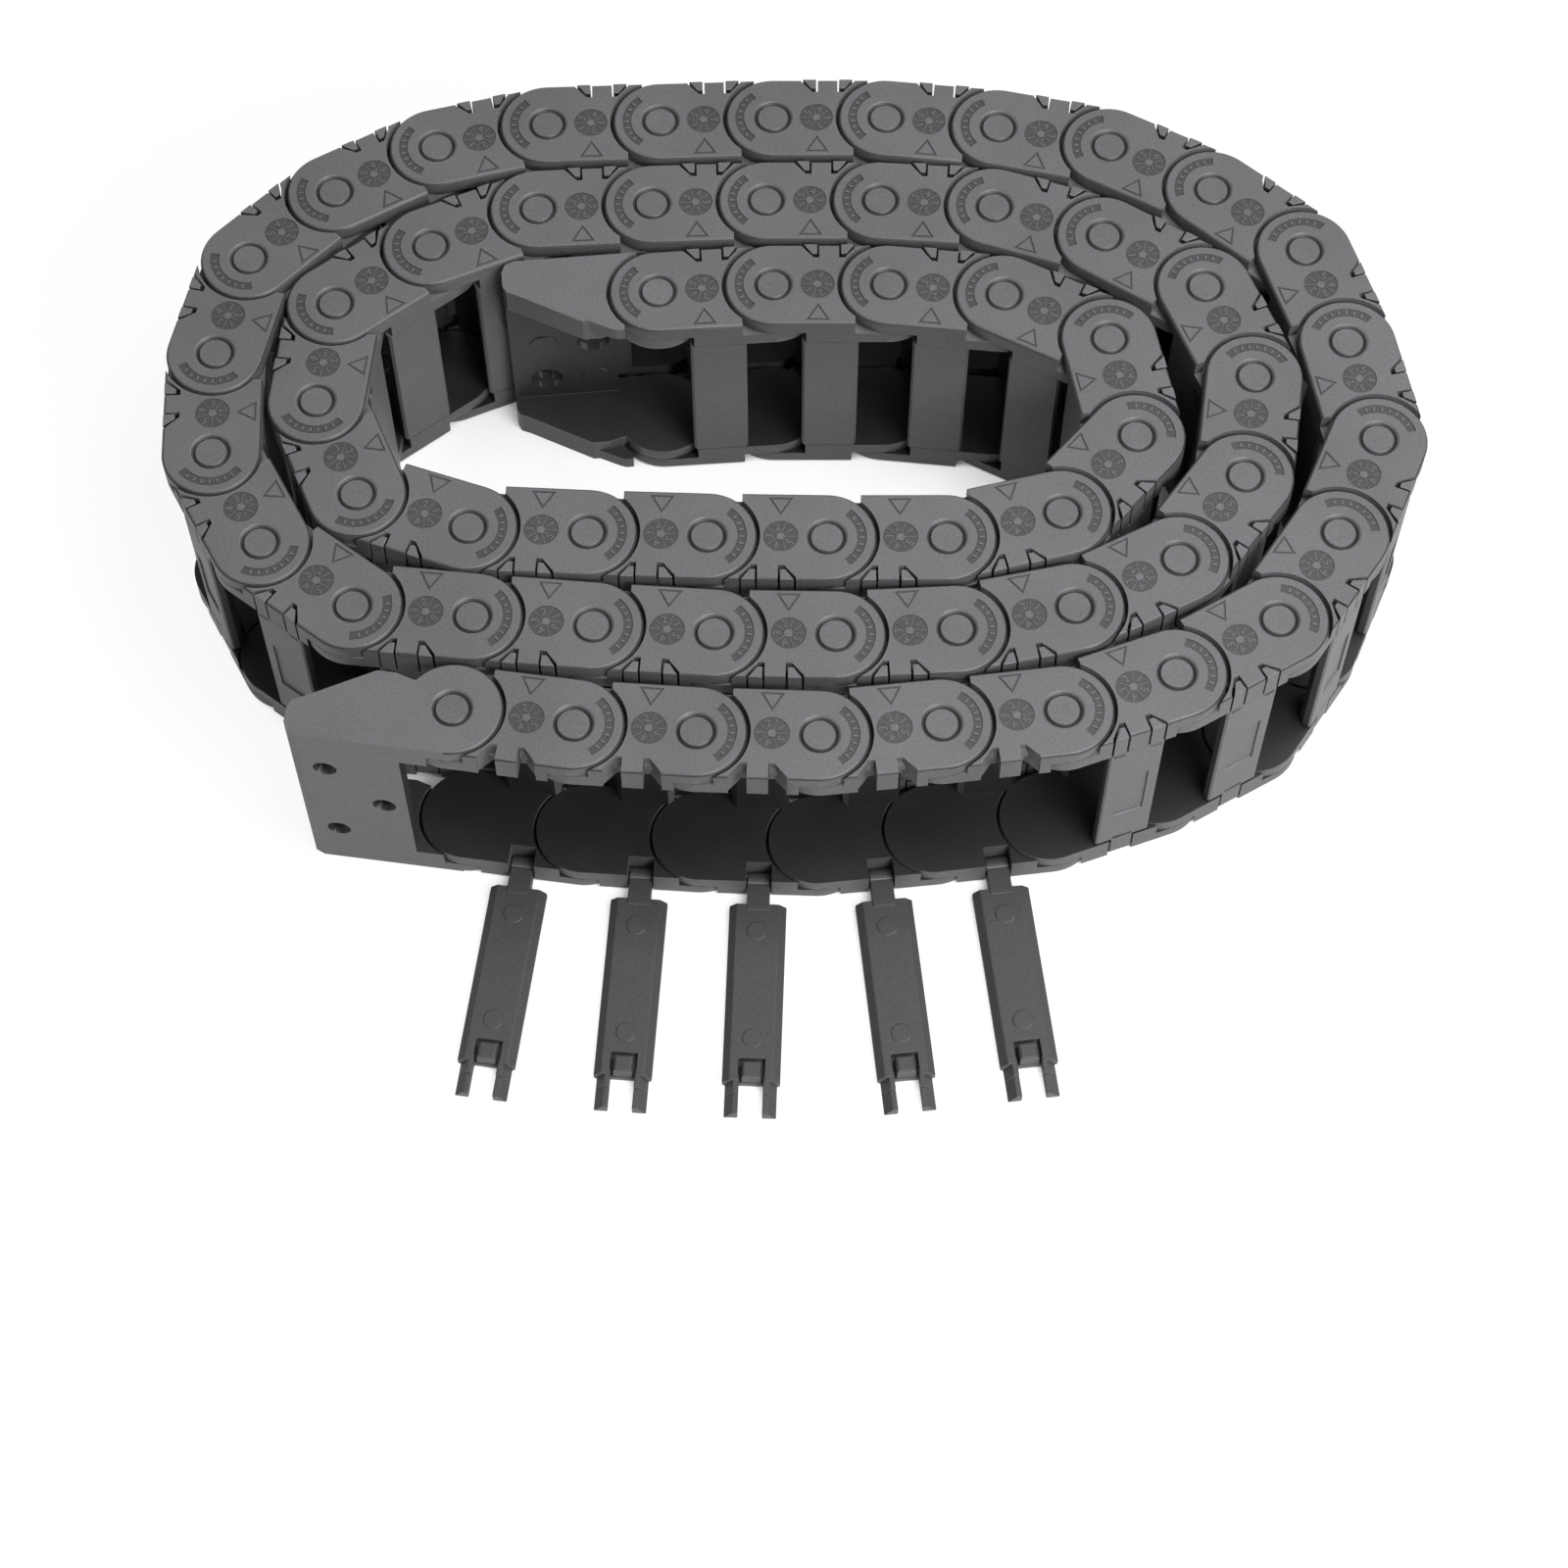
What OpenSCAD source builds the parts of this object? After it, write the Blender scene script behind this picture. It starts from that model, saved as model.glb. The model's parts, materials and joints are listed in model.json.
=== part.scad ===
// Cable drag chain: 57 moulded links with snap-open crossbars and a screw-on bracket at each end.
// It lies coiled on one side, so Z runs across the chain's width and every hinge pin stands upright.
// A link is drawn in its own frame: the near pin at the origin, X to the far pin, +Y the inside of the bend.

/* [Channel] */
// Clear height of the cable channel
channel_h = 10; // [9:0.5:10]
// Clear width of the cable channel
channel_w = 30; // [25:1:40]

/* [Link] */
// Distance from one hinge pin to the next
pitch = 18; // [18:0.1:18.5]
// Thickness of a side plate, tongue and ear together
wall = 5; // [5:0.1:6]
// Height of a side plate
plate_h = 15; // [14.5:0.1:15]
// Radius of the hinge pin
pin_r = 2.6; // [2.4:0.05:2.8]
// Bevel round the outer face of a side plate
bevel = 0.4; // [0.2:0.1:0.6]

/* [Crossbars] */
// Width of a crossbar along the chain
bar_w = 8.8; // [8:0.1:8.8]
// How far the opened crossbars are folded out
open_angle = 90; // [0:1:90]

/* [Lay] */
// How many crossbars stand open, counted from the outer end
open_bars = 5; // [0:1:14]
// Shift of the outer hinge pin from the middle of the coil, along X
first_pin_x = -42; // [-60:0.1:-30]
// Shift of the outer hinge pin from the middle of the coil, along Y
first_pin_y = -39.2; // [-60:0.1:-20]

/* [Hidden] */
$fn = 64;

// How far each hinge is bent as the chain lies, in whole degrees, from the outer bracket inwards
bends = [
    0, 4, 2, 8, 1, 13, 10, 26,                        // outer turn, near side
    11, 34, 7, 32, 12,                                // outer turn, right side
    16, 6, 6, 2, 0, 12, 15, 16,                       // outer turn, far side
    32, 15, 26, 25,                                   // outer turn, left side
    31, 1, 1, 3, 4, 9, 15,                            // middle turn, near side
    27, 28, 30, 36,                                   // middle turn, right side
    14, 14, 4, 2, 1, 20, 14,                          // middle turn, far side
    47, 29,                                           // middle turn, left side
    48, 16, 1, 1, 1, 14,                              // inner turn, near side
    35, 52, 52,                                       // inner turn, right side
    21, 6, 4, 1                                       // inner turn, far side
];
link_count = len(bends) - 1;

width = channel_w + 2 * wall;
half_h = plate_h / 2;
bar_t = (plate_h - channel_h) / 2;

// a side plate is two layers: the tongue inside, the ear outside
layer_gap = 0.15;
ear_t = wall / 2;
tongue_t = wall - ear_t - layer_gap;
bore_r = pin_r + 0.05;
swing_r = half_h + 0.5;
corner_u = 5.2;

// stop lugs on the tongue run in pockets of the ear and end the bend at stop_angle
stop_angle = 60;
lug_r = 4.2;
lug_w = 2.1;
lug_h = 1.2;
lug_angle = 20;
lug_play = 0.15;

// hinge of the crossbar that opens, at the outer edge of the lower plate
bar_u = pitch / 2 + 0.2;
foot_w = 5.4;
tongue_play = 0.1;
hinge_v = 1.5 - half_h;
hinge_z = 1.5;
rod_r = 0.8;
eye_r = 1.45;
strap_w = 3.5;
slot_w = strap_w + 0.5;
snap_play = 0.15;

// end brackets
bracket_l = 24;
bracket_u = 7;
bracket_t = 2.5;
screw_r = 1.8;
head_r = 2.6;
head_depth = 1.2;
screw_far = 18.6;
screw_near = 10.6;
screw_gap = 20;

body_colour = [0.12, 0.12, 0.13];

// the first and last link of each group that the coil holds still, and the same for their crossbars
LINK_GROUPS = [[16, 20], for (k = [21:4:53]) [k, k + 3]];
BAR_GROUPS = [for (k = [16:5:46]) [k, k + 4], [51, 56]];
SINGLES = [for (k = [1:15]) k, link_count];

function two(k) = k < 10 ? str("0", k) : str(k);
function group_name(what, g) = str(what, "_", two(g[0]), "_", two(g[1]));

// heading of link k and the place of hinge k, both counted from the outer end
function heading(k) = k == 0 ? 0 : heading(k - 1) + bends[k - 1];
function hinge_at(k) = k == 1
    ? [first_pin_x, first_pin_y]
    : hinge_at(k - 1) + pitch * [cos(heading(k - 1)), sin(heading(k - 1))];

module at_link(k) {
    translate(hinge_at(k)) rotate(heading(k)) children();
}

// children drawn on the upper plate, whose inside face is at Z = 0, and mirrored to the lower one
module both_plates() {
    translate([0, 0, width - wall]) children();
    translate([0, 0, wall]) mirror([0, 0, 1]) children();
}

// a round end of a plate layer, bevelled on its outer face
module round_end(z0, z1, edge) {
    rotate_extrude()
        polygon([[0, z0], [half_h, z0], [half_h, z1 - edge], [half_h - edge, z1], [0, z1]]);
}

// a straight length of side plate
module plate_strip(u0, u1) {
    translate([u0, 0, 0]) rotate([90, 0, 90]) linear_extrude(u1 - u0)
        polygon([
            [-half_h, 0], [-half_h, wall - bevel], [bevel - half_h, wall],
            [half_h - bevel, wall], [half_h, wall - bevel], [half_h, 0]
        ]);
}

// two stop lugs or the pockets that they run in, opposite each other round the hinge
module stop_sectors(start, sweep, play, z0, z1) {
    for (side = [0, 180])
        rotate_extrude(angle = sweep, start = side + start)
            translate([lug_r - play, z0]) square([lug_w + 2 * play, z1 - z0]);
}

module hinge_pin() {
    tip = 0.3;
    cylinder(r = pin_r, h = wall - 0.1 - tip);
    translate([0, 0, wall - 0.1 - tip]) cylinder(r1 = pin_r, r2 = pin_r - tip, h = tip);
    stop_sectors(90, lug_angle, 0, tongue_t - 0.2, tongue_t + lug_h);
}

// everything that the next tongue needs cut from an ear
module ear_cuts() {
    translate([0, 0, -1]) cylinder(r = bore_r, h = wall + 2);
    translate([0, 0, wall - bevel]) cylinder(r1 = bore_r, r2 = bore_r + bevel + 0.2, h = bevel + 0.01);
    stop_sectors(89, lug_angle + stop_angle + 2, lug_play, tongue_t, wall - ear_t + lug_h);
}

// shallow moulded marks on an ear: a date dial, a triangle and an arc round the pin
module face_marks() {
    mark = 0.15;
    translate([11.07, 0, wall - mark]) cylinder(r = 2.65, h = 1);
    translate([0, 0, wall - mark]) linear_extrude(1) difference() {
        polygon([[9.15, 6.7], [12.85, 6.7], [11, 3.6]]);
        polygon([[9.7, 6.4], [12.3, 6.4], [11, 4.2]]);
    }
    translate([pitch, 0, 0]) rotate_extrude(angle = 108, start = -54)
        translate([4.6, wall - 0.2]) square([1.4, 1]);
}

// one side plate of a link: tongue and pin at the origin, ear and bore at the far end
module side_plate() {
    difference() {
        union() {
            plate_strip(0, pitch);
            round_end(0, tongue_t, 0);
            translate([pitch, 0, 0]) round_end(tongue_t, wall, bevel);
        }
        translate([0, 0, tongue_t]) cylinder(r = swing_r, h = wall);
        translate([-pitch, corner_u - 1, tongue_t]) cube([pitch + corner_u, half_h, wall]);
        translate([pitch, 0, -1]) cylinder(r = swing_r, h = 1 + wall - ear_t);
        translate([pitch - corner_u, corner_u - 1, -1]) cube([pitch, half_h, 1 + wall - ear_t]);
        translate([pitch, 0, 0]) ear_cuts();
    }
    hinge_pin();
}

// the two notches in the outer edge of the upper plate that the crossbar's prongs snap into
module prong_outline(play) {
    tab = 3.1 / 2 + play;
    for (side = [-1, 1])
        translate([bar_u, -half_h]) scale([side, 1])
            polygon([[tab, -0.01], [tab, bar_t - play], [2.45 - play, bar_t - play], [4.3 - play, 0.4], [4.3 - play, -0.01]]);
}

// the moulded crossbar: its feet join the plates and the bar itself clears the next link's tongues
module fixed_crossbar() {
    round = 0.8;
    inner = half_h - bar_t;
    translate([pitch / 2, 0, wall + tongue_play]) linear_extrude(channel_w - 2 * tongue_play)
        polygon([
            [-bar_w / 2 + round, inner], [bar_w / 2 - round, inner], [bar_w / 2, inner + round],
            [bar_w / 2, half_h - bevel], [bar_w / 2 - bevel, half_h],
            [bevel - bar_w / 2, half_h], [-bar_w / 2, half_h - bevel], [-bar_w / 2, inner + round]
        ]);
    translate([(pitch - foot_w) / 2, inner + 0.1, wall - 0.1])
        cube([foot_w, bar_t - bevel - 0.1, channel_w + 0.2]);
}

// one-piece link: two side plates, the fixed crossbar and the rod for the crossbar that opens
module link() {
    color(body_colour) {
        difference() {
            union() {
                both_plates() side_plate();
                fixed_crossbar();
            }
            translate([0, 0, width - wall - 1]) linear_extrude(wall + 2) prong_outline(0);
            translate([bar_u - slot_w / 2, -half_h - 1, -1]) cube([slot_w, 4.3, wall + 2]);
            translate([0, 0, width - wall]) face_marks();
        }
        translate([bar_u - slot_w / 2 - 0.2, hinge_v, hinge_z]) rotate([0, 90, 0])
            cylinder(r = rod_r, h = slot_w + 0.4);
    }
}

// the crossbar that opens, drawn shut
module crossbar() {
    low = wall + 0.6;
    high = width - wall - snap_play;
    inner = bar_t - half_h;
    edge = 0.9;
    color(body_colour) difference() {
        union() {
            translate([bar_u, 0, low]) linear_extrude(high - low)
                polygon([
                    [-bar_w / 2, -half_h + 0.3], [0.3 - bar_w / 2, -half_h], [bar_w / 2 - 0.3, -half_h],
                    [bar_w / 2, -half_h + 0.3], [bar_w / 2, inner - edge], [bar_w / 2 - edge, inner],
                    [edge - bar_w / 2, inner], [-bar_w / 2, inner - edge]
                ]);
            // snap prongs, flush with the upper plate
            difference() {
                translate([0, 0, high - 1]) linear_extrude(width - high + 1) intersection() {
                    prong_outline(snap_play);
                    translate([0, -half_h]) square([pitch, bar_t]);
                }
                translate([pitch, 0, width - wall - 0.01]) cylinder(r = swing_r, h = wall - ear_t + 0.01);
            }
            // latch block under the tab
            translate([bar_u - 1.3, inner - 0.2, high - 3]) cube([2.6, 0.9, 2.2]);
            // strap down to the hinge
            translate([bar_u - strap_w / 2, -half_h, hinge_z]) cube([strap_w, 1.3, low - hinge_z + 0.5]);
            translate([bar_u - strap_w / 2, hinge_v, hinge_z]) rotate([0, 90, 0])
                cylinder(r = eye_r, h = strap_w);
        }
        // snap-on bore of the hinge eye, open towards the channel
        translate([bar_u - strap_w, hinge_v, hinge_z]) rotate([0, 90, 0])
            cylinder(r = rod_r + 0.05, h = 2 * strap_w);
        translate([bar_u - strap_w, hinge_v, hinge_z - 0.6]) cube([2 * strap_w, 3, 1.2]);
        // bare label panel on the outside, ejector marks on the inside
        translate([bar_u - 2.7, -half_h - 1, 12]) cube([5.4, 1.25, 16]);
        for (z = [low + 6.5, high - 6.5])
            translate([bar_u, inner - 0.2, z]) rotate([-90, 0, 0]) cylinder(r = 1.6, h = 1);
    }
}

module laid_crossbar(k) {
    at_link(k) translate([0, hinge_v, hinge_z])
        rotate([k <= open_bars ? open_angle : 0, 0, 0])
        translate([0, -hinge_v, -hinge_z]) crossbar();
}

// rounded corner at the free end of a bracket, shared by its wings and its screw plate
bracket_corner = [[bracket_l - 2, -half_h], [bracket_l - 0.6, 0.6 - half_h], [bracket_l, 2 - half_h]];

// side wing of a bracket, pin at the origin, free end at +X
module wing_outline() {
    polygon([
        [0, -half_h], each bracket_corner,
        [bracket_l, -3], [bracket_l - 0.5, -1.8], [bracket_l - 2, -1.1],
        [12, 4.7], [9.2, 4.7], [6.4, 3.9], [0, 3.9]
    ]);
}

module screw_plate() {
    translate([0, 0, wall - 0.1]) linear_extrude(channel_w + 0.2)
        polygon([
            [bracket_u, -half_h], each bracket_corner,
            [bracket_l, bracket_t - half_h], [bracket_u, bracket_t - half_h]
        ]);
}

module bracket(eared) {
    hole_top = bracket_t + 1;
    color(body_colour) {
        difference() {
            union() {
                both_plates() difference() {
                    union() {
                        linear_extrude(wall) wing_outline();
                        if (eared) translate([0, 0, tongue_t]) round_end(0, wall - tongue_t, bevel);
                        else round_end(0, tongue_t, 0);
                    }
                    if (eared) {
                        translate([0, 0, -1]) cylinder(r = swing_r, h = 1 + wall - ear_t);
                        mirror([1, 0, 0]) ear_cuts();
                    }
                    else translate([0, 0, tongue_t]) cylinder(r = swing_r, h = wall);
                }
                screw_plate();
            }
            for (s = [[screw_far, screw_gap / 2], [screw_far, -screw_gap / 2], [screw_near, 0]])
                translate([s[0], -half_h, width / 2 + s[1]]) rotate([-90, 0, 0]) {
                    translate([0, 0, -1]) cylinder(r = screw_r, h = hole_top + 1);
                    translate([0, 0, bracket_t - head_depth]) cylinder(r = head_r, h = hole_top);
                }
        }
        if (!eared) both_plates() hinge_pin();
    }
}

module outer_bracket() {
    translate(hinge_at(1)) mirror([1, 0, 0]) bracket(eared = true);
}

module inner_bracket() {
    at_link(link_count + 1) bracket(eared = false);
}

outer_bracket();
inner_bracket();
for (k = SINGLES) {
    at_link(k) link();
    laid_crossbar(k);
}
for (g = LINK_GROUPS)
    for (k = [g[0]:g[1]]) at_link(k) link();
for (g = BAR_GROUPS)
    for (k = [g[0]:g[1]]) laid_crossbar(k);
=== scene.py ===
"""Looks of the cable drag chain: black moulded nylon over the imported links, crossbars and brackets."""
import json
import math

import bmesh
import bpy
from mathutils import Matrix, Vector

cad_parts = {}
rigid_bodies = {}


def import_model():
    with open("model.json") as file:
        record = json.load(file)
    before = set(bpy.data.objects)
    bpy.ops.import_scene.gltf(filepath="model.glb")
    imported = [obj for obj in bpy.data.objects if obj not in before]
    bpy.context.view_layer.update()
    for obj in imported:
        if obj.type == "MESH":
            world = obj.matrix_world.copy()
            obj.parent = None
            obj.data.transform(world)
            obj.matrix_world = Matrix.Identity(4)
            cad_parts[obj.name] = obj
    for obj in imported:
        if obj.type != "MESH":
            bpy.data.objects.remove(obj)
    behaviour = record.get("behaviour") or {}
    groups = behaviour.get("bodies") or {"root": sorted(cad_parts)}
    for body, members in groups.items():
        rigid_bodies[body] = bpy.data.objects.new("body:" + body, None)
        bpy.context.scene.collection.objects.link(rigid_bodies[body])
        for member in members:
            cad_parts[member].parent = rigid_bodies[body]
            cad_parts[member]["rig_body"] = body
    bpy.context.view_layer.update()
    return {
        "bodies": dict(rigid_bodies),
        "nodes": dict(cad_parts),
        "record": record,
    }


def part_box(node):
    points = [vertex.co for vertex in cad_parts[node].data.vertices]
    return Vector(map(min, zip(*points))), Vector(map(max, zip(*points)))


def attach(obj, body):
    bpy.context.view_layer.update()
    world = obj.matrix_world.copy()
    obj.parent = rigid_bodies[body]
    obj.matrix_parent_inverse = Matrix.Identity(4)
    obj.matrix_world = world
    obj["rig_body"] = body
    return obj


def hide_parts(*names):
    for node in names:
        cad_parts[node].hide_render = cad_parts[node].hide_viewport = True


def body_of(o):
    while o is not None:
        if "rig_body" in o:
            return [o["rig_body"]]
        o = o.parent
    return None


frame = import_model()

MM = 0.001

# ---- the chain's own layout, as in the model: pins are counted from the outer bracket ----

PITCH = 18 * MM
# how far each hinge is bent as the chain lies, in degrees
BENDS = [
    0, 4, 2, 8, 1, 13, 10, 26,
    11, 34, 7, 32, 12,
    16, 6, 6, 2, 0, 12, 15, 16,
    32, 15, 26, 25,
    31, 1, 1, 3, 4, 9, 15,
    27, 28, 30, 36,
    14, 14, 4, 2, 1, 20, 14,
    47, 29,
    48, 16, 1, 1, 1, 14,
    35, 52, 52,
    21, 6, 4,
]
INNER_BRACKET_BEND = 1
# height of the top faces of the upper plates and brackets
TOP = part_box("outer_bracket")[1][2]

# ---- side plates ----

# thickness of an ear, the outer layer of a plate
EAR = 2.5 * MM
# upward faces between these heights are the channel's floor
FLOOR_LOW = 0.5 * MM
FLOOR_HIGH = 30 * MM
# upright faces between these heights are the channel's walls
WALL_LOW = 5.15 * MM
WALL_HIGH = 34.85 * MM
# the plane of a channel wall lies at least this far from the middle of the coil
WALL_REACH = 20 * MM

# depths below the top, in mm: rubbed pin faces, floors of moulded recesses, slanted sides of grooves; the
# last two take painted shade
PIN_FACE = (0.08, 0.12)
RECESS = (0.13, 0.25)
GROOVE = (0.18, 0.45)

# date dial of a link: distance from the near pin, depth of its recess, and height of the moulding in it
DIAL_ALONG = 11.07 * MM
DIAL_DEPTH = 0.15 * MM
DIAL_RISE = 0.11 * MM
DIAL_SECTORS = 5

# arc groove round the far pin, and the ribs in it, with the span in degrees
ARC_RADIUS = 5.3 * MM
ARC_SPAN = 78
ARC_DEPTH = 0.2 * MM
RIB_RISE = 0.17 * MM
RIBS = 7

# ---- brackets ----

# ejector marks inside a bracket, in mm: distance from its pin, and height
BRACKET_MARKS = ((10.6, 10), (10.6, 30), (18.6, 20))
# outline of the inner bracket's wing in mm, with its pin at the origin and its free end along X
WING = [
    (4.4, -7.4), (22, -7.4), (23.9, -5.5), (23.9, -3), (23.4, -1.8),
    (22, -1.1), (7.6, 6.5), (6.8, 6.8), (5.6, 6.8),
]
# the wing keeps this far from its pin, clear of the ear of the last link
SWING = 8.05 * MM
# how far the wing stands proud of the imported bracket's face
WING_SKIN = 0.01 * MM

# ---- snap crossbar, drawn shut in its link's frame, and its hinge on the lower plate ----

BAR_MIDDLE = 9.2 * MM
BAR_HALF = 4.4 * MM
BAR_OUTSIDE = -7.5 * MM
BAR_INSIDE = -5 * MM
BAR_LOW = 5.6 * MM
BAR_HIGH = 34.85 * MM
POCKET_HALF = 2 * MM
POCKET_LOW = 31.2 * MM
PANEL_HALF = 2.5 * MM
PANEL_LOW = 14 * MM
PANEL_HIGH = 26 * MM
PANEL_DEPTH = 0.3 * MM
LATCH_HALF = 1.5 * MM
LATCH_LOW = 31.7 * MM
LATCH_HIGH = 34.7 * MM
# sides of a prong, from the bar's middle, and how much narrower it is towards the channel
PRONG_NEAR = 1.85 * MM
PRONG_FAR = 4 * MM
PRONG_TAPER = 1.3 * MM
PRONG_STEP_LOW = 36.5 * MM
PRONG_STEP_HIGH = 36.8 * MM
STRAP_HALF = 1.75 * MM
STRAP_HIGH = 6.7 * MM
EYE_RADIUS = 1.45 * MM
# heights of the ejector marks
BAR_MARKS = (10.2 * MM, 28 * MM)
HINGE = Vector((0, -6, 1.5)) * MM
OPEN_BARS = 5

# thickness of an ejector mark, half of it sunk in the wall
MARK_DEPTH = 0.4 * MM

# turns a disc's axis from Z to the direction in which the insides of bars and brackets face
FACING_IN = Matrix.Rotation(-math.pi / 2, 4, "X")

# ledges in the slots of the upper plate: distance from the bar's middle, size, and fall of the front edge
LEDGE_ALONG = 2.6 * MM
LEDGE_HALF = 0.95 * MM
LEDGE_FRONT = -5.5 * MM
LEDGE_BACK = -4.9 * MM
LEDGE_LOW = 36.95 * MM
LEDGE_HIGH = 38.9 * MM
LEDGE_SLOPE = 0.9 * MM


def pin_place(name):
    pin = next(j for j in frame["record"]["behaviour"]["joints"] if j["name"] == name)
    return Vector((pin["pos_m"][0], pin["pos_m"][1], 0))


def link_frames():
    """Matrix of every link: near pin at the origin, X towards the far pin, on the ground."""
    place = pin_place("pin_01")
    heading = 0
    frames = []
    for bend in BENDS:
        heading += math.radians(bend)
        turn = Matrix.Rotation(heading, 4, "Z")
        frames.append(Matrix.Translation(place) @ turn)
        place = place + turn @ Vector((PITCH, 0, 0))
    return frames


def link_body(number):
    """Body that a link belongs to, by its number from the outer end."""
    name = f"link_{number:02d}"
    return name if name in frame["bodies"] else "coil"


# ---- camera ----

def add_camera():
    camera = bpy.data.objects.new("camera", bpy.data.cameras.new("camera"))
    bpy.context.scene.collection.objects.link(camera)
    camera.location = (0.0407, -0.2801, 0.5101)
    camera.rotation_euler = (math.radians(26.81), 0, math.radians(7.94))
    camera.data.sensor_width = 36
    camera.data.lens = 83.5
    camera.data.clip_end = 20
    bpy.context.scene.camera = camera


# ---- materials ----

# where nearly all of a noise texture's values lie
NOISE_RANGE = (0.3, 0.7)


def new_material(name):
    material = bpy.data.materials.new(name)
    material.use_nodes = True
    tree = material.node_tree
    return material, tree, tree.nodes["Principled BSDF"]


def noise(tree, coords, scale, detail, roughness=0.5):
    """Noise from 0 to 1, with scale in repeats per metre."""
    node = tree.nodes.new("ShaderNodeTexNoise")
    node.inputs["Scale"].default_value = scale
    node.inputs["Detail"].default_value = detail
    node.inputs["Roughness"].default_value = roughness
    tree.links.new(coords, node.inputs["Vector"])
    return node.outputs["Fac"]


def ramp(tree, value, low, high, out_low, out_high):
    """The value, mapped from one range to another and held inside it."""
    node = tree.nodes.new("ShaderNodeMapRange")
    node.inputs["From Min"].default_value = low
    node.inputs["From Max"].default_value = high
    node.inputs["To Min"].default_value = out_low
    node.inputs["To Max"].default_value = out_high
    tree.links.new(value, node.inputs["Value"])
    return node.outputs["Result"]


def math_node(tree, operation, a, b):
    """One step of arithmetic on two numbers or sockets."""
    node = tree.nodes.new("ShaderNodeMath")
    node.operation = operation
    for value, socket in zip((a, b), node.inputs):
        if isinstance(value, (int, float)):
            socket.default_value = value
        else:
            tree.links.new(value, socket)
    return node.outputs[0]


def split_z(tree, vector):
    """Upward part of a vector."""
    node = tree.nodes.new("ShaderNodeSeparateXYZ")
    tree.links.new(vector, node.inputs[0])
    return node.outputs["Z"]


def between(tree, value, low, high):
    """1 where the value lies between the two limits, and 0 elsewhere."""
    return math_node(tree, "MULTIPLY", math_node(tree, "GREATER_THAN", value, low),
                     math_node(tree, "LESS_THAN", value, high))


def below_top(tree, height, depths):
    """1 where the height is between the two depths below the plates' top face, and 0 elsewhere."""
    shallow, deep = depths
    return between(tree, height, TOP - deep * MM, TOP - shallow * MM)


def grey(tree, value):
    """A grey with a faint cool cast."""
    node = tree.nodes.new("ShaderNodeCombineColor")
    for channel, tint in zip(("Red", "Green", "Blue"), (0.97, 0.97, 1.03)):
        tree.links.new(math_node(tree, "MULTIPLY", value, tint), node.inputs[channel])
    return node.outputs["Color"]


def nylon(name, shade, roughness, grain, channel_painted_shade=1, channel_side=1):
    """Spark-eroded black nylon: fine grain, faint flow clouds and rubbed pin faces, with painted shade on
    the floors of recesses and the lower slopes of grooves and edges.

    The channel's shading factor darkens the inside of the cable channel as painted shade. channel_side is 1
    where the channel's walls face away from the middle of the coil, and -1 where they face it.
    """
    material, tree, shader = new_material(name)
    texture = tree.nodes.new("ShaderNodeTexCoord")
    coords = texture.outputs["Object"]
    clouds = noise(tree, coords, 60, 3)
    specks = noise(tree, coords, 2600, 2, 0.6)
    tone = math_node(
        tree, "MULTIPLY",
        ramp(tree, clouds, *NOISE_RANGE, 0.93 * shade, 1.07 * shade),
        ramp(tree, specks, *NOISE_RANGE, 0.85, 1.15),
    )
    height = split_z(tree, coords)
    slope = split_z(tree, texture.outputs["Normal"])
    flat = between(tree, slope, 0.9, 1.1)
    slanted = between(tree, slope, 0.4, 0.9)
    pin_face = math_node(tree, "MULTIPLY", flat, below_top(tree, height, PIN_FACE))
    # painted shade: flat floors of the shallow recesses, such as the date dial's, are darkened in the base
    # colour
    recess = math_node(tree, "MULTIPLY", flat, below_top(tree, height, RECESS))
    # painted shadow: slanted faces just below the top, the sides of grooves and the lower halves of the
    # plates' edge bevels, are darkened as dark seams
    groove = math_node(tree, "MULTIPLY", slanted, below_top(tree, height, GROOVE))
    # painted shade: the channel's floor and walls, which the upper plates shade, are darkened in the base
    # colour
    channel_floor = math_node(tree, "MULTIPLY", flat, between(tree, height, FLOOR_LOW, FLOOR_HIGH))
    outwards = tree.nodes.new("ShaderNodeVectorMath")
    outwards.operation = "DOT_PRODUCT"
    tree.links.new(coords, outwards.inputs[0])
    tree.links.new(texture.outputs["Normal"], outwards.inputs[1])
    reach = math_node(tree, "MULTIPLY", outwards.outputs["Value"], channel_side)
    channel_wall = math_node(
        tree, "MULTIPLY",
        between(tree, height, WALL_LOW, WALL_HIGH),
        math_node(tree, "GREATER_THAN", reach, WALL_REACH),
    )
    # painted shade on recess floors, on groove and edge slopes, and on the channel's floor and walls: the
    # base colour is darkened there
    masks = ((recess, 0.42), (groove, 0.25), (channel_floor, channel_painted_shade), (channel_wall, channel_painted_shade))
    for mask, factor in masks:
        tone = math_node(tree, "MULTIPLY", tone, ramp(tree, mask, 0, 1, 1, factor))
    tree.links.new(grey(tree, tone), shader.inputs["Base Color"])
    rough = ramp(tree, clouds, *NOISE_RANGE, roughness - 0.05, roughness + 0.05)
    rough = math_node(tree, "SUBTRACT", rough, ramp(tree, pin_face, 0, 1, 0, 0.06))
    tree.links.new(rough, shader.inputs["Roughness"])
    shader.inputs["Specular IOR Level"].default_value = 0.3
    bump = tree.nodes.new("ShaderNodeBump")
    bump.inputs["Strength"].default_value = grain
    bump.inputs["Distance"].default_value = 0.05 * MM
    tree.links.new(specks, bump.inputs["Height"])
    tree.links.new(bump.outputs["Normal"], shader.inputs["Normal"])
    return material


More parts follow.
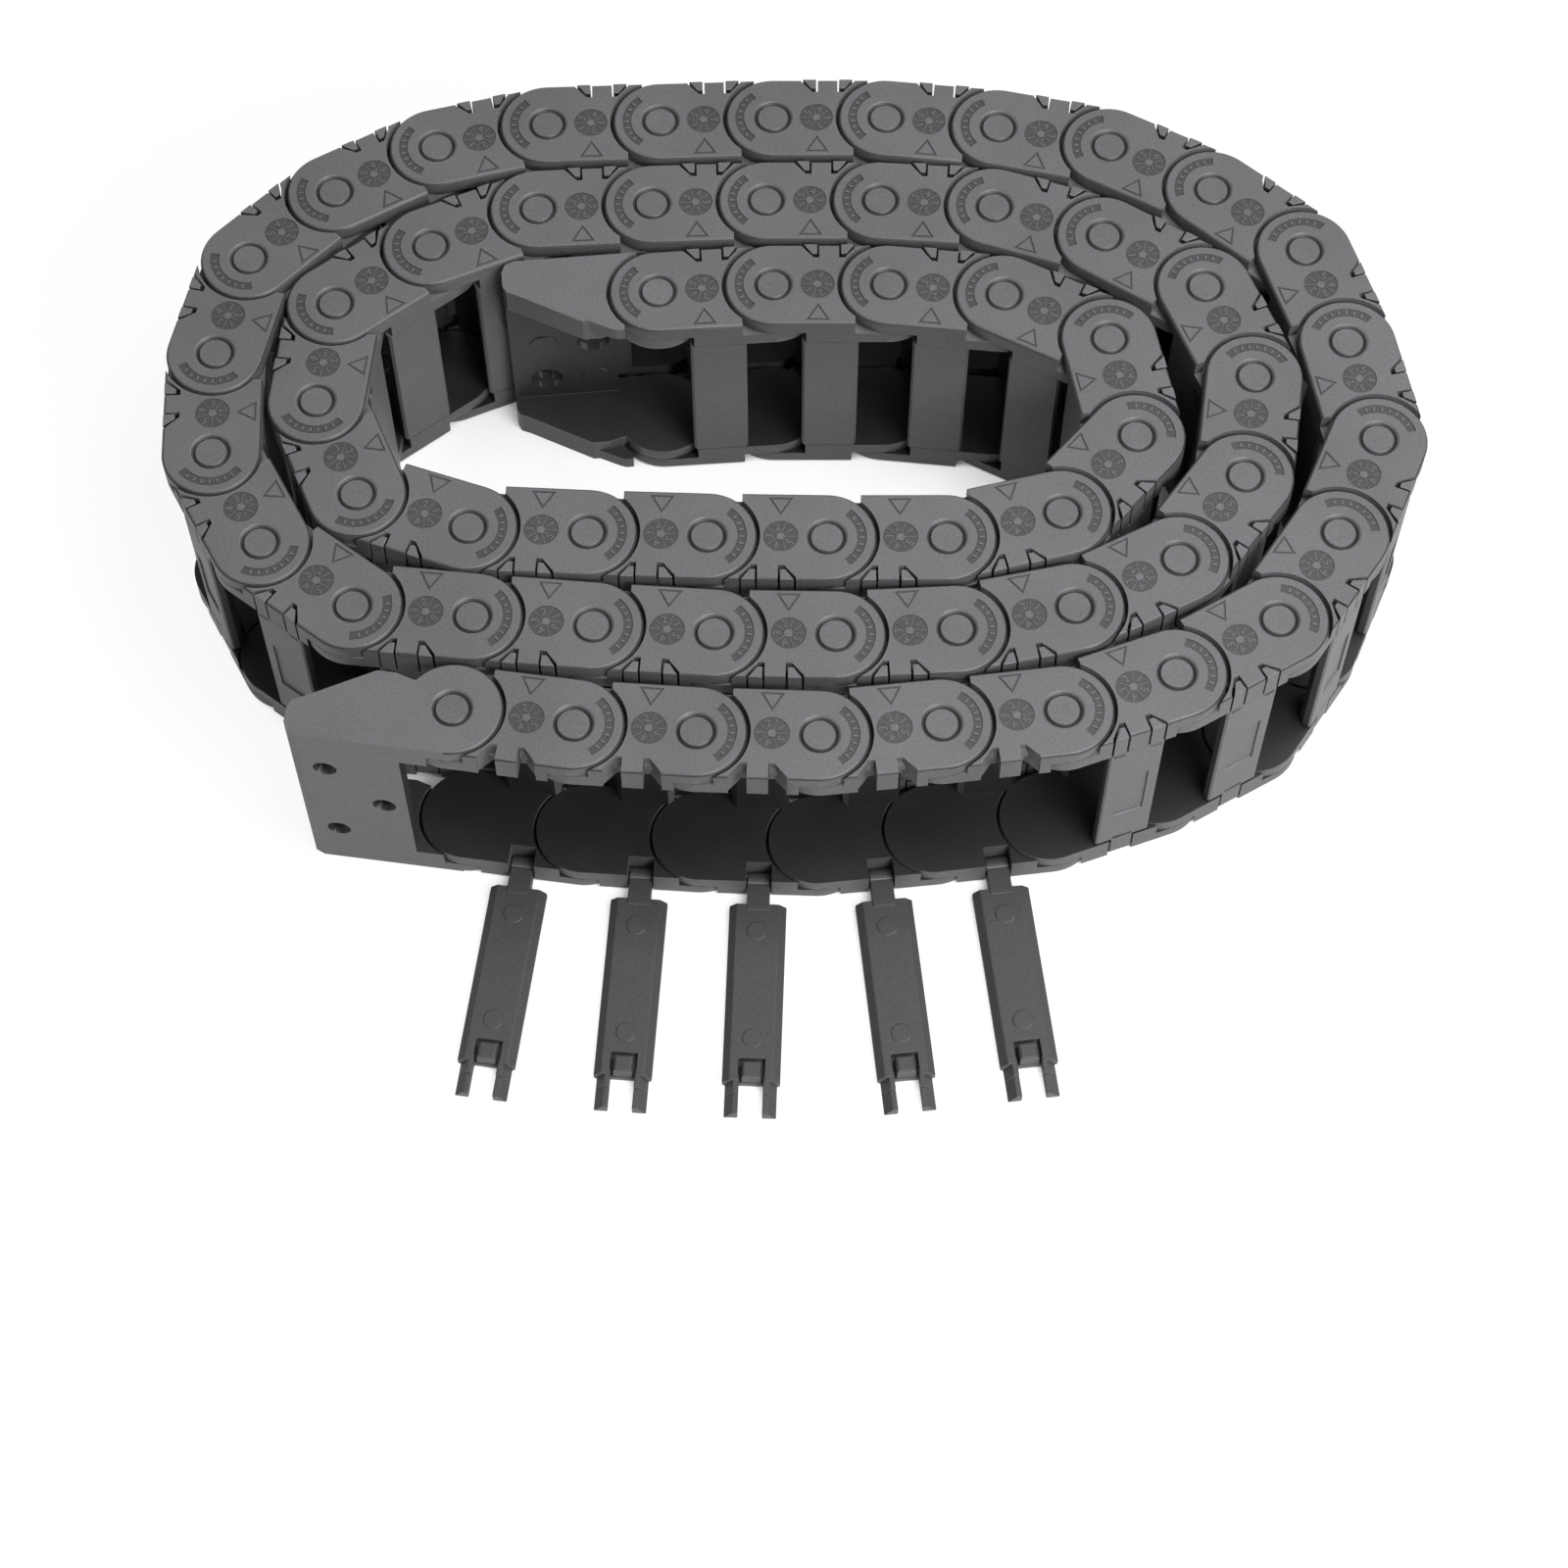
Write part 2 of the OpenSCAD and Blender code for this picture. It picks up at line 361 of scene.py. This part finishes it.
def soften(piece):
    """Rounds the moulded edges of a piece a little."""
    weld = piece.modifiers.new("weld", "WELD")
    weld.merge_threshold = 0.002 * MM
    bevel = piece.modifiers.new("edges", "BEVEL")
    bevel.width = 0.14 * MM
    bevel.segments = 2
    bevel.limit_method = "ANGLE"
    bevel.angle_limit = math.radians(38)
    bevel.use_clamp_overlap = True


def dress_frame(link_nylon, bracket_nylon):
    """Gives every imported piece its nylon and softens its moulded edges."""
    for name, node in frame["nodes"].items():
        node.data.materials.clear()
        node.data.materials.append(bracket_nylon if "bracket" in name else link_nylon)
        soften(node)


# ---- meshes ----

def finished(name, shape):
    """Turns a bmesh into a mesh and frees the bmesh."""
    mesh = bpy.data.meshes.new(name)
    shape.to_mesh(mesh)
    shape.free()
    return mesh


def mesh_piece(name, shape, material, body):
    """Makes a visible piece that rides on a body."""
    mesh = finished(name, shape)
    mesh.materials.append(material)
    piece = bpy.data.objects.new(name, mesh)
    bpy.context.scene.collection.objects.link(piece)
    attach(piece, body)
    return piece


def box_between(shape, low, high):
    """Adds a block between two corners and gives back its vertices."""
    low = Vector(low)
    high = Vector(high)
    made = bmesh.ops.create_cube(shape, size=1)["verts"]
    scale = Matrix.Diagonal((*(high - low), 1))
    bmesh.ops.transform(shape, matrix=Matrix.Translation((low + high) / 2) @ scale, verts=made)
    return made


def add_block(shape, size, matrix):
    """Adds a block of a size, centred on the matrix."""
    made = bmesh.ops.create_cube(shape, size=1)
    scale = Matrix.Diagonal((*size, 1))
    bmesh.ops.transform(shape, matrix=matrix @ scale, verts=made["verts"])


def add_disc(shape, radius, top_radius, depth, segments, matrix):
    """Adds a round disc, centred on the matrix and rising along its Z."""
    bmesh.ops.create_cone(
        shape, cap_ends=True, segments=segments,
        radius1=radius, radius2=top_radius, depth=depth, matrix=matrix,
    )


def add_prism(shape, outline, low, high):
    """Adds a straight block over an outline in mm on the ground."""
    base = shape.faces.new([shape.verts.new((u * MM, v * MM, low)) for u, v in outline])
    made = bmesh.ops.extrude_face_region(shape, geom=[base])["geom"]
    top = [v for v in made if isinstance(v, bmesh.types.BMVert)]
    bmesh.ops.translate(shape, verts=top, vec=(0, 0, high - low))


def bevel_edges(shape, edges, offset, segments=1):
    bmesh.ops.bevel(
        shape, geom=edges, offset=offset, offset_type="OFFSET", affect="EDGES",
        segments=segments, profile=0.5, material=-1, clamp_overlap=True,
    )


def cut(shape, cutter):
    """The shape less the cutter, as a new bmesh."""
    holders = []
    for part in (shape, cutter):
        holder = bpy.data.objects.new("part", finished("part", part))
        bpy.context.scene.collection.objects.link(holder)
        holders.append(holder)
    body, tool = holders
    less = body.modifiers.new("less", "BOOLEAN")
    less.operation = "DIFFERENCE"
    less.solver = "EXACT"
    less.object = tool
    graph = bpy.context.evaluated_depsgraph_get()
    made = bmesh.new()
    made.from_object(body, graph)
    for holder in holders:
        bpy.data.objects.remove(holder)
    return made


# ---- moulded figures in the date dials, bare ribs in the arc grooves, and ledges for the prongs ----

def figure_shape(text, height, rise):
    """A plain numeral as a closed mesh, centred on its own origin."""
    curve = bpy.data.curves.new("figure", "FONT")
    curve.body = text
    curve.size = height
    curve.align_x = "CENTER"
    curve.align_y = "CENTER"
    curve.extrude = rise / 2
    curve.resolution_u = 2
    holder = bpy.data.objects.new("figure", curve)
    bpy.context.scene.collection.objects.link(holder)
    mesh = holder.to_mesh().copy()
    holder.to_mesh_clear()
    bpy.data.objects.remove(holder)
    return mesh


def dial_shape():
    """Date dial of one link, drawn round its own centre at the floor of the recess."""
    shape = bmesh.new()
    spoke_length, spoke_width, spoke_middle = 1.95 * MM, 0.11 * MM, 1.6 * MM
    figure_height, figure_middle = 1.8 * MM, 1.62 * MM
    hub_radius = 0.62 * MM
    lift = DIAL_RISE / 2
    for k in range(DIAL_SECTORS):
        turn = Matrix.Rotation(math.tau * k / DIAL_SECTORS, 4, "Z")
        spoke = turn @ Matrix.Translation((spoke_middle, 0, lift))
        add_block(shape, (spoke_length, spoke_width, DIAL_RISE), spoke)
        mesh = figure_shape(str(k + 1), figure_height, DIAL_RISE)
        middle = math.tau * (k + 0.5) / DIAL_SECTORS
        mesh.transform(
            Matrix.Rotation(middle, 4, "Z") @ Matrix.Translation((figure_middle, 0, lift))
            @ Matrix.Rotation(-math.pi / 2, 4, "Z")
        )
        shape.from_mesh(mesh)
    add_disc(shape, hub_radius, hub_radius, DIAL_RISE, 20, Matrix.Translation((0, 0, lift)))
    return shape


def rib_shape():
    """Short bare ribs along the arc groove round the far pin."""
    shape = bmesh.new()
    rib_length, rib_width = 0.7 * MM, 0.3 * MM
    for k in range(RIBS):
        angle = math.radians(ARC_SPAN * (k / (RIBS - 1) - 0.5))
        turn = Matrix.Translation((PITCH, 0, 0)) @ Matrix.Rotation(angle, 4, "Z")
        rib = turn @ Matrix.Translation((ARC_RADIUS, 0, RIB_RISE / 2))
        add_block(shape, (rib_length, rib_width, RIB_RISE), rib)
    return shape


def ledge_shape():
    """Sloping ledges in the slots of the upper plate, that the crossbar's prongs hook over."""
    shape = bmesh.new()
    halfway = Vector((0, LEDGE_FRONT + LEDGE_BACK, LEDGE_LOW + LEDGE_HIGH)) / 2
    for side in (-1, 1):
        middle = BAR_MIDDLE + side * LEDGE_ALONG
        ledge = box_between(
            shape,
            (middle - LEDGE_HALF, LEDGE_FRONT, LEDGE_LOW),
            (middle + LEDGE_HALF, LEDGE_BACK, LEDGE_HIGH),
        )
        upper_front = [v for v in ledge if v.co.y < halfway.y and v.co.z > halfway.z]
        bmesh.ops.translate(shape, verts=upper_front, vec=(0, 0, -LEDGE_SLOPE))
    return shape


def add_link_marks(material):
    """Dial, ribs and ledges of every link, as one piece on each body."""
    marks = (
        (finished("dial", dial_shape()), (DIAL_ALONG, 0, TOP - DIAL_DEPTH)),
        (finished("ribs", rib_shape()), (0, 0, TOP - ARC_DEPTH)),
        (finished("ledges", ledge_shape()), (0, 0, 0)),
    )
    by_body = {}
    for number, place in enumerate(link_frames(), start=1):
        shape = by_body.setdefault(link_body(number), bmesh.new())
        for mesh, spot in marks:
            copy = mesh.copy()
            copy.transform(place @ Matrix.Translation(spot))
            shape.from_mesh(copy)
    for body, shape in by_body.items():
        mesh_piece(f"marks_{body}", shape, material, body)


# ---- bracket details ----

def wing_shape(low, high):
    """One wing of the inner bracket with its shoulder, kept clear of the link's ear."""
    wing = bmesh.new()
    add_prism(wing, WING, low, high + WING_SKIN)
    swing = bmesh.new()
    add_disc(swing, SWING, SWING, 1, 96, Matrix.Identity(4))
    return cut(wing, swing)


def add_bracket_details(material):
    """Ejector marks inside both brackets, and the shoulders of the inner bracket's wings."""
    heading = math.radians(sum(BENDS) + INNER_BRACKET_BEND)
    inner = Matrix.Translation(pin_place("pin_58")) @ Matrix.Rotation(heading, 4, "Z")
    for name, place, side in (("outer_bracket", link_frames()[0], -1), ("inner_bracket", inner, 1)):
        shape = bmesh.new()
        for along, height in BRACKET_MARKS:
            spot = Matrix.Translation((side * along * MM, BAR_INSIDE, height * MM))
            add_disc(shape, 2.2 * MM, 2.15 * MM, MARK_DEPTH, 32, place @ spot @ FACING_IN)
        if name == "inner_bracket":
            for low, high in ((0, EAR), (TOP - EAR, TOP)):
                wing = finished("wing", wing_shape(low, high))
                wing.transform(place)
                shape.from_mesh(wing)
        bmesh.ops.recalc_face_normals(shape, faces=shape.faces)
        mesh_piece(f"details_{name}", shape, material, name)


# ---- snap crossbars ----

def long_edges(shape, test):
    """Edges that run up the bar and pass the test on their first vertex."""
    return [
        e for e in shape.edges
        if abs(e.verts[0].co.z - e.verts[1].co.z) > 5 * MM and test(e.verts[0].co)
    ]


def hollowed_bar():
    """The bevelled bar, with the latch pocket inside and the label panel outside."""
    body = bmesh.new()
    box_between(
        body,
        (BAR_MIDDLE - BAR_HALF, BAR_OUTSIDE, BAR_LOW),
        (BAR_MIDDLE + BAR_HALF, BAR_INSIDE, BAR_HIGH),
    )
    near = 0.1 * MM
    inside_bevel = 1.1 * MM
    outside_bevel = 0.3 * MM
    bevel_edges(body, long_edges(body, lambda co: co.y > BAR_INSIDE - near), inside_bevel)
    bevel_edges(body, long_edges(body, lambda co: co.y < BAR_OUTSIDE + near), outside_bevel)
    cutter = bmesh.new()
    pocket_wall = 1.1 * MM
    box_between(
        cutter,
        (BAR_MIDDLE - POCKET_HALF, BAR_OUTSIDE + pocket_wall, POCKET_LOW),
        (BAR_MIDDLE + POCKET_HALF, BAR_INSIDE + MM, BAR_HIGH + MM),
    )
    box_between(
        cutter,
        (BAR_MIDDLE - PANEL_HALF, BAR_OUTSIDE - MM, PANEL_LOW),
        (BAR_MIDDLE + PANEL_HALF, BAR_OUTSIDE + PANEL_DEPTH, PANEL_HIGH),
    )
    return cut(body, cutter)


def add_latch(shape):
    """The latch block in the pocket, rounded where it stands out of the bar."""
    reach = 0.55 * MM
    rounding = 0.5 * MM
    latch = box_between(
        shape,
        (BAR_MIDDLE - LATCH_HALF, BAR_OUTSIDE + MM, LATCH_LOW),
        (BAR_MIDDLE + LATCH_HALF, BAR_INSIDE + reach, LATCH_HIGH),
    )
    inner = [v for v in latch if v.co.y > BAR_INSIDE]
    bevel_edges(shape, [e for e in shape.edges if all(v in inner for v in e.verts)], rounding, 2)


def add_prongs(shape):
    """Two prongs that slope outwards, each with a high root and a lower hooked tip."""
    steps = (
        (BAR_HIGH - MM, PRONG_STEP_HIGH, BAR_INSIDE - 0.15 * MM),
        (PRONG_STEP_LOW, TOP, BAR_INSIDE - 0.7 * MM),
    )
    for side in (-1, 1):
        near = BAR_MIDDLE + side * PRONG_NEAR
        far = BAR_MIDDLE + side * PRONG_FAR
        for low, high, face in steps:
            prong = box_between(shape, (min(near, far), BAR_OUTSIDE, low), (max(near, far), face, high))
            outer = [v for v in prong if v.co.y > BAR_OUTSIDE + MM and abs(v.co.x - far) < 0.1 * MM]
            bmesh.ops.translate(shape, verts=outer, vec=(-side * PRONG_TAPER, 0, 0))


def add_strap(shape):
    """The strap under the bar, with the eye that snaps on the lower plate's rod."""
    box_between(
        shape,
        (BAR_MIDDLE - STRAP_HALF, BAR_OUTSIDE, HINGE.z),
        (BAR_MIDDLE + STRAP_HALF, BAR_INSIDE + 0.2 * MM, STRAP_HIGH),
    )
    along_rod = Matrix.Translation((BAR_MIDDLE, HINGE.y, HINGE.z)) @ Matrix.Rotation(math.pi / 2, 4, "Y")
    add_disc(shape, EYE_RADIUS, EYE_RADIUS, 2 * STRAP_HALF, 28, along_rod)


def bar_shape():
    """One snap crossbar: bar, latch block, prongs, strap, eye and ejector marks."""
    shape = hollowed_bar()
    add_latch(shape)
    add_prongs(shape)
    add_strap(shape)
    for height in BAR_MARKS:
        spot = Matrix.Translation((BAR_MIDDLE, BAR_INSIDE, height))
        add_disc(shape, 1.6 * MM, 1.55 * MM, MARK_DEPTH, 28, spot @ FACING_IN)
    bmesh.ops.recalc_face_normals(shape, faces=shape.faces)
    # the outside and the top are textured, the rest is dull
    for face in shape.faces:
        face.material_index = 1 if face.normal.y < -0.5 or face.normal.z > 0.5 else 0
    return shape


def add_crossbars(dull, textured):
    """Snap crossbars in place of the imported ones, the outer five folded open."""
    bar = finished("bar", bar_shape())
    opened = Matrix.Translation(HINGE) @ Matrix.Rotation(math.pi / 2, 4, "X") @ Matrix.Translation(-HINGE)
    places = link_frames()
    for name in sorted(n for n in frame["nodes"] if n.startswith("crossbar")):
        numbers = [int(part) for part in name.split("_")[1:]]
        shape = bmesh.new()
        for number in range(numbers[0], numbers[-1] + 1):
            copy = bar.copy()
            copy.transform(places[number - 1] @ (opened if number <= OPEN_BARS else Matrix.Identity(4)))
            shape.from_mesh(copy)
        piece = mesh_piece(f"snap_{name}", shape, dull, body_of(frame["nodes"][name])[0])
        piece.data.materials.append(textured)
        soften(piece)
        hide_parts(name)


# ---- floor and light ----

def seen_directly(tree, rays):
    """1 for what the camera sees, straight or in a reflection, and 0 for light that falls on things."""
    seen = math_node(tree, "MAXIMUM", rays.outputs["Is Camera Ray"], rays.outputs["Is Glossy Ray"])
    return math_node(tree, "MAXIMUM", seen, rays.outputs["Is Transmission Ray"])


def add_floor():
    """White ground that shines by itself where nothing is near; close to the part ambient occlusion fades
    its glow, a painted shadow, over the lamps' plain shadow.
    """
    shape = bmesh.new()
    bmesh.ops.create_grid(shape, x_segments=1, y_segments=1, size=20)
    mesh = finished("floor", shape)
    floor = bpy.data.objects.new("floor", mesh)
    floor.location = (0, 0, -0.02 * MM)
    bpy.context.scene.collection.objects.link(floor)
    material, tree, shader = new_material("white floor")
    shader.inputs["Base Color"].default_value = (0.9, 0.9, 0.9, 1)
    shader.inputs["Roughness"].default_value = 0.9
    shader.inputs["Specular IOR Level"].default_value = 0.1
    glow = tree.nodes.new("ShaderNodeEmission")
    rays = tree.nodes.new("ShaderNodeLightPath")
    mix = tree.nodes.new("ShaderNodeMixShader")
    # painted shadow: ambient occlusion fades the floor's glow near and under the part
    near = tree.nodes.new("ShaderNodeAmbientOcclusion")
    near.inputs["Distance"].default_value = 40 * MM
    floor_glow_less_painted_shadow = ramp(tree, near.outputs["AO"], 0.05, 0.5, 0, 0.93)
    tree.links.new(math_node(tree, "MULTIPLY", seen_directly(tree, rays), floor_glow_less_painted_shadow), mix.inputs[0])
    tree.links.new(shader.outputs[0], mix.inputs[1])
    tree.links.new(glow.outputs[0], mix.inputs[2])
    tree.links.new(mix.outputs[0], tree.nodes["Material Output"].inputs["Surface"])
    mesh.materials.append(material)


def add_softbox(name, place, aim, size, watts):
    light = bpy.data.lights.new(name, "AREA")
    light.shape = "RECTANGLE"
    light.size = size[0]
    light.size_y = size[1]
    light.energy = watts
    lamp = bpy.data.objects.new(name, light)
    lamp.location = place
    lamp.rotation_euler = (Vector(aim) - Vector(place)).to_track_quat("-Z", "Y").to_euler()
    bpy.context.scene.collection.objects.link(lamp)


def add_light():
    world = bpy.data.worlds.new("studio")
    world.use_nodes = True
    tree = world.node_tree
    background = tree.nodes["Background"]
    rays = tree.nodes.new("ShaderNodeLightPath")
    tree.links.new(ramp(tree, seen_directly(tree, rays), 0, 1, 0.08, 1), background.inputs["Strength"])
    background.inputs["Color"].default_value = (1, 1, 1, 1)
    bpy.context.scene.world = world
    add_softbox("key", (0.27, -0.26, 0.36), (0, 0, 0), (0.3, 0.2), 2.9)
    add_softbox("back", (-0.1, 0.9, 0.15), (0, 0, 0.02), (0.6, 0.2), 2)
    add_softbox("overhead", (0.28, 0.02, 0.85), (0, 0, 0), (0.5, 0.35), 8.5)
    bpy.context.scene.view_settings.view_transform = "Standard"


add_camera()
# the inside of the channel, and the inner faces of the brackets, are darkened with painted shade
link_nylon = nylon("link nylon", 0.08, 0.48, 0.35, channel_painted_shade=0.15)
bracket_nylon = nylon("bracket nylon", 0.088, 0.48, 0.4, channel_painted_shade=0.3, channel_side=-1)
plain_nylon = nylon("plain nylon", 0.085, 0.48, 0.4)
dress_frame(link_nylon, bracket_nylon)
add_link_marks(link_nylon)
add_bracket_details(bracket_nylon)
add_crossbars(nylon("dull nylon", 0.031, 0.56, 0.8), plain_nylon)
add_floor()
add_light()
